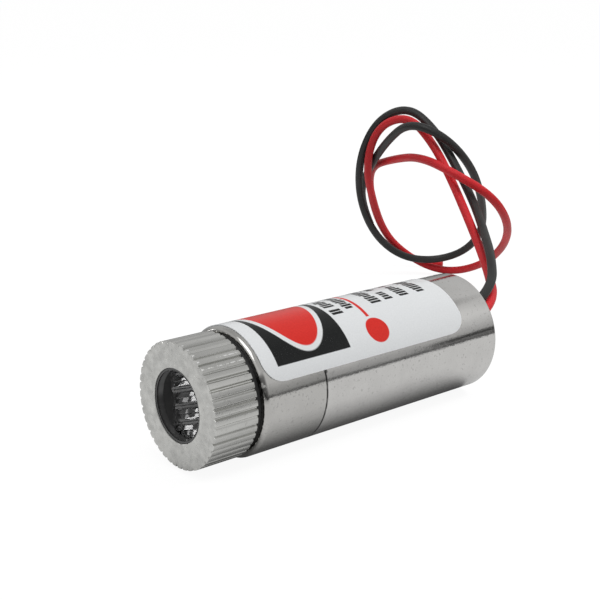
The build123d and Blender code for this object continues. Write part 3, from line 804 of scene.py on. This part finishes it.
def make_ring_tail():
    """The threaded tail, the neck, and the blackened bore with its pocket for the lens."""
    around = 96
    rings_per_turn = 8
    start, end = X_TAIL, X_KNURL - NECK_LENGTH
    rings = round((end - start) / THREAD_PITCH * rings_per_turn)
    turns = [(start + (end - start) * step / rings, THREAD_RADIUS) for step in range(rings + 1)]
    last = len(turns)
    tail = turns + [
        (end + 0.02, NECK_RADIUS),
        (X_HEAD_TO_TAIL, NECK_RADIUS),
        (X_MOUTH_FLOOR, MOUTH_RADIUS),
        (X_MOUTH_FLOOR, BEAM_RADIUS),
        (X_POCKET_FLOOR, BEAM_RADIUS),
        (X_POCKET_FLOOR, LENS_POCKET_RADIUS),
        (X_TAIL, LENS_POCKET_RADIUS),
    ]
    end_depth = 0.15

    def thread(index, x, radius, angle):
        if index >= last:
            return radius
        turn = (x - start) / THREAD_PITCH + angle / (2 * math.pi)
        wave = abs(turn - math.floor(turn) - 0.5) * 2
        full = max(0.0, min(1.0, (x - start) / THREAD_RUN_OUT, (end - x) / THREAD_RUN_OUT))
        return radius - THREAD_DEPTH * wave * full - end_depth * (1 - full)

    points, faces = swept_ring(tail, around, thread)
    piece = mesh_piece("focus_ring_tail", points, faces, "ring_plating", "focus_ring", sharp=50.0)
    blacken(piece, around, range(last + 1, len(tail)))


make_ring_head()
make_ring_tail()


# Washer and lens


def make_washer():
    """The rubber washer in the gap behind the ring."""
    x_rear, x_front = extent("focus_washer")
    inner = THREAD_RADIUS + PASSING_GAP
    corners = [
        (x_rear, inner, 0.04),
        (x_front, inner, 0.1),
        (x_front, WASHER_RADIUS, 0.15),
        (x_rear, WASHER_RADIUS, 0.04),
    ]
    points, faces = swept_ring(rounded(corners), 128)
    mesh_piece("focus_washer_band", points, faces, "washer_rubber", "barrel", ["focus_washer"])


make_washer()

# The ribs of the line lens, in millimetres and degrees. The middle rib is number 0.
RIB_PITCH = 0.48
RIB_PHASE = 0.3
RIB_TURN = 20.0
RIB_SKEW = 14.0
LENS_HALF_WIDTH = 2.0
DOME_RADIUS = 53.0
LIT_SHARES = (0.0, 0.28, 0.54, 0.8)
PLAIN_SHARES = (0.0, 0.4, 0.47, 0.54, 0.86)
NOTCH_SHARE = 0.47
NOTCH_DEPTH = 0.05

# Each rib's tilt across it and its lean along it
RIB_TILTS = {
    5: (6, 0),
    4: (24, 0.82),
    3: (24, 0.44),
    2: (-6, 0),
    1: (27, 1.25),
    0: (24, -0.68),
    -1: (10, 0),
    -2: (27, 0.44),
    -3: (27, 0.62),
    -4: (-4, 0),
    -5: (24, 1.13),
    -6: (24, -0.35),
    -7: (5, 0),
}


def rib_rows(reach):
    """The lens's lines across the ribs: place across, drop below the crest, and slope along."""
    rows = [(-reach, 0.0, 0.0)]
    for number in range(-8, 8):
        tilt, lean = RIB_TILTS.get(number, (0, 0))
        slope = math.tan(math.radians(tilt))
        shares = LIT_SHARES if tilt > 20 else PLAIN_SHARES
        for share in shares:
            across = (number + RIB_PHASE + share) * RIB_PITCH
            run = share if tilt > 0 else share - shares[-1]
            drop = slope * run * RIB_PITCH
            if share == NOTCH_SHARE:
                drop += NOTCH_DEPTH
            if abs(across) < reach:
                rows.append((across, drop, math.tan(math.radians(lean))))
    rows.append((reach, 0.0, 0.0))
    return rows


def make_line_lens():
    """The ribbed disc with flat sides. Each rib's face has its own tilt and the front is slightly domed."""
    turn = math.radians(RIB_TURN)
    skew = math.radians(RIB_SKEW)
    columns = 24
    rows = rib_rows(LENS_RADIUS * 0.9995)

    def spin(x, across, along):
        y = along * math.cos(turn) - across * math.sin(turn)
        z = along * math.sin(turn) + across * math.cos(turn)
        return (x, y, z)

    points, faces = [], []
    for across, drop, lean in rows:
        chord = math.sqrt(LENS_RADIUS**2 - across**2)
        middle = across * math.tan(skew)
        left = max(-chord, middle - LENS_HALF_WIDTH / math.cos(skew))
        right = min(chord, middle + LENS_HALF_WIDTH / math.cos(skew))
        level = X_LENS_CREST - drop - abs(lean) * LENS_HALF_WIDTH
        for column in range(columns + 1):
            along = left + (right - left) * column / columns
            height = level - lean * along - along**2 / (2 * DOME_RADIUS)
            points.append(spin(height, across, along))
    last = len(rows) - 1
    for row in range(last):
        for column in range(columns):
            here = row * (columns + 1) + column
            faces.append((here, here + 1, here + columns + 2, here + columns + 1))
    rim = [row * (columns + 1) + columns for row in range(last + 1)]
    rim += [last * (columns + 1) + column for column in range(columns - 1, -1, -1)]
    rim += [row * (columns + 1) for row in range(last - 1, -1, -1)]
    rim += list(range(1, columns))
    base = len(points)
    points += [(X_LENS_BACK, points[index][1], points[index][2]) for index in rim]
    total = len(rim)
    for step in range(total):
        after = (step + 1) % total
        faces.append((rim[step], rim[after], base + after, base + step))
    middle = len(points)
    points.append((X_LENS_BACK, 0.0, 0.0))
    for step in range(total):
        faces.append((base + step, base + (step + 1) % total, middle))
    mesh_piece("line_lens_ribs", points, faces, "line_lens_clear", "focus_ring", ["line_lens"], sharp=12.0)


make_line_lens()


# Leads


def make_lead(name, node, route, material):
    """A lead as one smooth curve along its route."""
    curve = bpy.data.curves.new(name, "CURVE")
    curve.dimensions = "3D"
    curve.resolution_u = 10
    curve.bevel_depth = LEAD_RADIUS * MM
    curve.bevel_resolution = 6
    curve.use_fill_caps = True
    spline = curve.splines.new("NURBS")
    spline.points.add(len(route) - 1)
    for point, (px, py, pz) in zip(spline.points, route):
        point.co = (px * MM, py * MM, pz * MM, 1.0)
    spline.order_u = 3
    spline.use_endpoint_u = True
    curve.materials.append(MATERIALS[material])
    piece = bpy.data.objects.new(name, curve)
    scene.collection.objects.link(piece)
    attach(piece, "barrel")
    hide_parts(node)
    return piece


red = make_lead("red_lead_cord", "red_lead", RED_ROUTE, "red_insulation")
black = make_lead("black_lead_cord", "black_lead", BLACK_ROUTE, "black_insulation")


# Floor, world and lamps

FLOOR_HALF = 3.0
FLOOR_GAP = 0.02
FLOOR_HEIGHT = -(BARREL_RADIUS + FLOOR_GAP) * MM
FLOOR_GLOW = 1.155
FLOOR_GLOW_SHARE = 0.8
# What metal sees of the floor: the distances where the pale sheet ends, two distances of the bench
# with its tones there, and two shares of open space over the floor with the tones of its painted shadow
# there
SHEET_END = (0.092, 0.099)
BENCH = (0.1, 0.5, 0.12, 0.36)
PAINTED_SHADOW = (0.2, 0.82, 0.075, 0.77)
PAINTED_SHADOW_REACH = 0.03


def make_floor():
    """A white floor that keeps the object's shadow.

    Metal sees a pale sheet round the object, a painted shadow close under it, and a darker bench beyond."""
    mesh = bpy.data.meshes.new("floor")
    corners = ((-1, -1), (1, -1), (1, 1), (-1, 1))
    points = [(x * FLOOR_HALF, y * FLOOR_HALF, FLOOR_HEIGHT) for x, y in corners]
    mesh.from_pydata(points, [], [(0, 1, 2, 3)])
    floor = bpy.data.objects.new("floor", mesh)
    scene.collection.objects.link(floor)
    white = (0.6, 0.6, 0.6)
    material, nodes, shader = surface("floor_white", white, 0.0, 0.9, Specular_IOR_Level=0.0)
    path = nodes.add("ShaderNodeLightPath")
    glow = nodes.add("ShaderNodeEmission")
    glow.inputs["Color"].default_value = grey(1.0)
    glow.inputs["Strength"].default_value = FLOOR_GLOW
    seen = nodes.most(path.outputs["Is Camera Ray"], path.outputs["Is Transmission Ray"])
    plain = nodes.add("ShaderNodeMixShader")
    nodes.feed(plain.inputs[0], nodes.times(seen, FLOOR_GLOW_SHARE))
    nodes.feed(plain.inputs[1], shader.outputs[0])
    nodes.feed(plain.inputs[2], glow.outputs[0])
    nearby = nodes.add("ShaderNodeAmbientOcclusion", samples=8)
    nearby.inputs["Distance"].default_value = PAINTED_SHADOW_REACH
    mirrored = nodes.add("ShaderNodeEmission")
    # Painted shadow: the floor that metal sees glows darker where it is less open, close under the object
    under = nodes.span(nearby.outputs["AO"], *PAINTED_SHADOW)
    reach = nodes.add("ShaderNodeVectorMath", operation="LENGTH")
    nodes.feed(reach.inputs[0], nodes.place())
    bench = nodes.span(reach.outputs["Value"], *BENCH)
    sheet = nodes.span(reach.outputs["Value"], *SHEET_END, 1.0, 0.0)
    nodes.feed(mirrored.inputs["Color"], nodes.times(under, nodes.most(sheet, bench)))
    glossy = nodes.add("ShaderNodeMixShader")
    nodes.feed(glossy.inputs[0], path.outputs["Is Glossy Ray"])
    nodes.feed(glossy.inputs[1], plain.outputs[0])
    nodes.feed(glossy.inputs[2], mirrored.outputs[0])
    nodes.feed(material.node_tree.nodes["Material Output"].inputs["Surface"], glossy.outputs[0])
    mesh.materials.append(material)


# The room in the reflections. Its places are limits of a direction's x, y and z, and its azimuths
# are in radians. The walls and the ceiling have two heights and the tone at each.
WALLS = (0.02, 0.36, 0.42, 0.74)
CEILING = (0.5, 0.72, 0.0, -0.12)
CEILING_LIGHT_X = (0.26, 0.38)
CEILING_LIGHT_Y = (-0.4, -0.28, 0.2, 0.3)
CEILING_LIGHT_Z = (0.55, 0.62)
CEILING_LIGHT = 2.2
# A faint pale panel and a faint dark streak: azimuths, heights and strength
WALL_PATCHES = (
    ((2.35, 2.5, 2.65, 2.8), (0.3, 0.42, 0.55, 0.64), 0.1),
    ((2.78, 2.9, 2.98, 3.1), (0.55, 0.62, 0.72, 0.8), -0.16),
)
SKYLINE = (-0.04, -0.01, -0.004, 0.014)
SKYLINE_DARK = 0.45
WEDGE_AZIMUTHS = (2.345, 2.395, 2.55, 2.7)
WEDGE_HEIGHTS = (-0.04, -0.01, 0.05, 0.1)
WEDGE_DARK = 0.86
DIM_SIDE = (-0.6, 0.0, 0.8, 1.0)
# Window panes: first and last azimuth in degrees, top and strength
PANES = ((-65.1, -63.0, 0.2, 4.6), (-67.8, -66.3, 0.086, 1.7))
PANE_BLUR = math.radians(0.15)
# The plain light of the room on the object, from the horizon to the top
SKY = (0.0, 1.0, 0.20, 0.80)


def make_world():
    """White behind the object, and a plain grey room with a dark skyline in its reflections."""
    world = bpy.data.worlds.new("studio")
    scene.world = world
    world.use_nodes = True
    nodes = Nodes(world.node_tree)
    background = world.node_tree.nodes["Background"]
    path = nodes.add("ShaderNodeLightPath")
    direction = nodes.add("ShaderNodeTexCoord").outputs["Generated"]
    x, y, z = nodes.parts(direction)
    azimuth = nodes.math("ARCTAN2", y, x)
    room = nodes.math("ADD", nodes.span(z, *WALLS), nodes.span(z, *CEILING))
    overhead = nodes.times(nodes.span(z, *CEILING_LIGHT_Z), nodes.span(x, *CEILING_LIGHT_X))
    overhead = nodes.times(overhead, nodes.band(y, *CEILING_LIGHT_Y))
    room = nodes.math("MULTIPLY_ADD", overhead, CEILING_LIGHT, room)
    for azimuths, heights, strength in WALL_PATCHES:
        patch = nodes.times(nodes.band(azimuth, *azimuths), nodes.band(z, *heights))
        room = nodes.math("MULTIPLY_ADD", patch, strength, room)
    skyline = nodes.times(nodes.band(z, *SKYLINE), SKYLINE_DARK)
    wedge = nodes.times(nodes.band(azimuth, *WEDGE_AZIMUTHS), nodes.band(z, *WEDGE_HEIGHTS))
    dark = nodes.most(skyline, nodes.times(wedge, WEDGE_DARK))
    room = nodes.times(room, nodes.minus(1.0, dark))
    room = nodes.times(room, nodes.span(y, *DIM_SIDE))
    for first, last, top, strength in PANES:
        first, last = math.radians(first), math.radians(last)
        across = nodes.band(azimuth, first - PANE_BLUR, first, last, last + PANE_BLUR)
        pane = nodes.times(across, nodes.band(z, 0.0, 0.004, top, top + 0.005))
        room = nodes.math("MULTIPLY_ADD", pane, strength, room)
    sky = nodes.span(z, *SKY, smooth=False)
    level = nodes.mix(path.outputs["Is Glossy Ray"], sky, room)
    seen = nodes.most(path.outputs["Is Camera Ray"], path.outputs["Is Transmission Ray"])
    level = nodes.mix(seen, level, grey(1.0))
    nodes.feed(background.inputs["Color"], level)
    background.inputs["Strength"].default_value = 1.0


def make_lamp(name, azimuth, elevation, distance, size, level):
    """A softbox in a direction in degrees. level is how bright it lights a white card facing it.

    The room's reflections come from the world alone."""
    around, up = math.radians(azimuth), math.radians(elevation)
    away = Vector((math.cos(up) * math.cos(around), math.cos(up) * math.sin(around), math.sin(up)))
    data = bpy.data.lights.new(name, "AREA")
    data.shape = "RECTANGLE"
    data.size, data.size_y = size
    data.energy = level * math.pi**2 * distance**2
    lamp = bpy.data.objects.new(name, data)
    lamp.location = away * distance
    lamp.rotation_euler = (-away).to_track_quat("-Z", "Y").to_euler()
    lamp.visible_glossy = False
    scene.collection.objects.link(lamp)


make_floor()
make_world()
make_lamp("softbox_key", azimuth=138.0, elevation=50.0, distance=0.32, size=(0.09, 0.05), level=0.34)
make_lamp("softbox_top", azimuth=90.0, elevation=84.0, distance=0.5, size=(0.3, 0.3), level=0.14)
make_lamp("window", azimuth=-50.0, elevation=16.0, distance=0.35, size=(0.05, 0.09), level=0.1)
